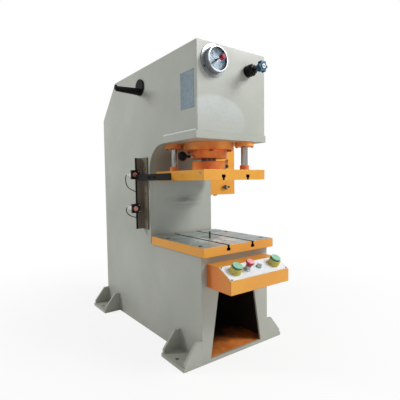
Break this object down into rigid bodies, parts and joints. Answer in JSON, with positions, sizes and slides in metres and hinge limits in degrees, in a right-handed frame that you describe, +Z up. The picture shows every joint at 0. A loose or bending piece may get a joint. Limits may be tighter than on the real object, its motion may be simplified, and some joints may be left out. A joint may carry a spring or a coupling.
{
  "type": "c-frame press",
  "caption": "Free-standing C-frame hydraulic press with a slotted table, guided ram plate, two-hand control box, gauge and side cabinet.",
  "frame": {"origin": "on the floor, at the centre of the four anchor bolts", "axes": "+Z up, -Y towards the operator at the front, +X to the operator's right"},
  "size_m": [0.9045, 1.479, 1.7],
  "materials": {
    "frame_grey": "semi-gloss",
    "orange": "semi-gloss",
    "black_steel": "satin",
    "bracket_brown": "satin",
    "ground_steel": "ground",
    "chrome": "polished",
    "zinc_steel": "zinc plated",
    "bronze": "machined",
    "copper_face": "satin",
    "white_panel": "satin",
    "yellow_plastic": "gloss",
    "green_plastic": "gloss",
    "red_plastic": "gloss",
    "blue_plastic": "gloss",
    "grey_plastic": "satin",
    "black_plastic": "gloss",
    "black_rubber": "matte",
    "dial_white": "matte",
    "glass": "clear",
    "cast_grey": "as cast, painted"
  },
  "bodies": {
    "frame": {"side_plate_left": "frame_grey", "side_plate_right": "frame_grey", "head_front_plate": "frame_grey", "head_base_plate": "frame_grey", "throat_plate": "frame_grey", "top_plate": "frame_grey", "rear_plate": "frame_grey", "rear_cover": "frame_grey", "lower_front_plate": "frame_grey", "bed_plate": "frame_grey", "chute_floor": "orange", "feet": "frame_grey", "lifting_pegs": "black_steel", "table_plate": "ground_steel", "table_screws": "black_steel", "table_plug": "zinc_steel", "cylinder_barrel": "orange", "cylinder_gland": "orange", "cylinder_seals": "black_rubber", "head_bolts": "orange", "guide_housings": "orange", "guide_bushes": "bronze", "catch_sleeve": "chrome", "panel_box": "orange", "panel_face": "white_panel", "palm_button_rings": "yellow_plastic", "switch_collars": "grey_plastic", "gauge_case": "chrome", "gauge_dial": "dial_white", "gauge_glass": "glass", "valve_body": "black_steel", "sensor_bracket": "bracket_brown", "sensor_rail": "black_steel", "sensor_clamps": "black_plastic", "sensor_barrels": "copper_face", "sensor_leads": "black_rubber", "cable_glands": "zinc_steel", "cabinet_box": "orange", "oil_tank": "cast_grey", "motor_housing": "cast_grey", "pump": "cast_grey", "valve_manifold": "zinc_steel", "oil_pipes": "zinc_steel"},
    "ram": {"piston_rod": "chrome", "ram_plate": "orange", "ram_bosses": "orange", "guide_rods": "chrome", "pointer_bar": "black_steel"},
    "palm_button_left": {"palm_button_left": "green_plastic"},
    "palm_button_right": {"palm_button_right": "green_plastic"},
    "estop_head": {"estop_head": "red_plastic"},
    "selector_knob": {"selector_knob": "grey_plastic"},
    "valve_handwheel": {"valve_handwheel": "blue_plastic"},
    "gauge_knob": {"gauge_knob": "red_plastic"},
    "gauge_pointer": {"gauge_pointer": "black_steel"},
    "catch_plunger": {"catch_plunger": "black_plastic"},
    "cabinet_door": {"cabinet_door": "orange"},
    "cabinet_latch": {"cabinet_latch": "black_plastic"},
    "isolator_lever": {"isolator_lever": "red_plastic"},
    "motor_shaft": {"motor_shaft": "zinc_steel"}
  },
  "joints": [
    {"name": "ram_stroke", "type": "slide", "parent": "frame", "child": "ram", "axis": [0, 0, -1], "range_m": [0, 0.25]},
    {"name": "palm_button_left_press", "type": "slide", "parent": "frame", "child": "palm_button_left", "axis": [0, 0.489, -0.8723], "range_m": [0, 0.006], "stiffness_N_per_m": 1500, "springref_m": -0.003},
    {"name": "palm_button_right_press", "type": "slide", "parent": "frame", "child": "palm_button_right", "axis": [0, 0.489, -0.8723], "range_m": [0, 0.006], "stiffness_N_per_m": 1500, "springref_m": -0.003},
    {"name": "estop_press", "type": "slide", "parent": "frame", "child": "estop_head", "axis": [0, 0.489, -0.8723], "range_m": [0, 0.005]},
    {"name": "selector_turn", "type": "hinge", "parent": "frame", "child": "selector_knob", "pos_m": [0.028, -0.77935, 0.51212], "axis": [0, -0.489, 0.8723], "range_deg": [-45, 45]},
    {"name": "valve_handwheel_turn", "type": "hinge", "parent": "frame", "child": "valve_handwheel", "pos_m": [0.112, -0.6215, 1.592], "axis": [0, -1, 0], "range_deg": [0, 720]},
    {"name": "gauge_knob_turn", "type": "hinge", "parent": "frame", "child": "gauge_knob", "pos_m": [-0.136, -0.6215, 1.607], "axis": [0, 1, 0], "range_deg": [0, 270]},
    {"name": "gauge_pointer_swing", "type": "hinge", "parent": "frame", "child": "gauge_pointer", "pos_m": [-0.136, -0.6215, 1.607], "axis": [0, 1, 0], "range_deg": [0, 270], "stiffness_Nm_per_rad": 0.02, "springref_deg": -11.46},
    {"name": "catch_plunger_pull", "type": "slide", "parent": "frame", "child": "catch_plunger", "axis": [-1, 0, 0], "range_m": [0, 0.012], "stiffness_N_per_m": 400, "springref_m": -0.005},
    {"name": "cabinet_door_swing", "type": "hinge", "parent": "frame", "child": "cabinet_door", "pos_m": [0.4805, -0.08625, 1.135], "axis": [0, 0, 1], "range_deg": [0, 110]},
    {"name": "cabinet_latch_turn", "type": "hinge", "parent": "cabinet_door", "child": "cabinet_latch", "pos_m": [0.381, -0.1005, 0.929], "axis": [0, -1, 0], "range_deg": [0, 90]},
    {"name": "isolator_lever_turn", "type": "hinge", "parent": "cabinet_door", "child": "isolator_lever", "pos_m": [0.396, -0.1005, 1.081], "axis": [0, 1, 0], "range_deg": [0, 90]},
    {"name": "motor_shaft_spin", "type": "hinge", "parent": "frame", "child": "motor_shaft", "pos_m": [0, 0.43, 0.6], "axis": [0, 0, 1], "continuous": true}
  ]
}
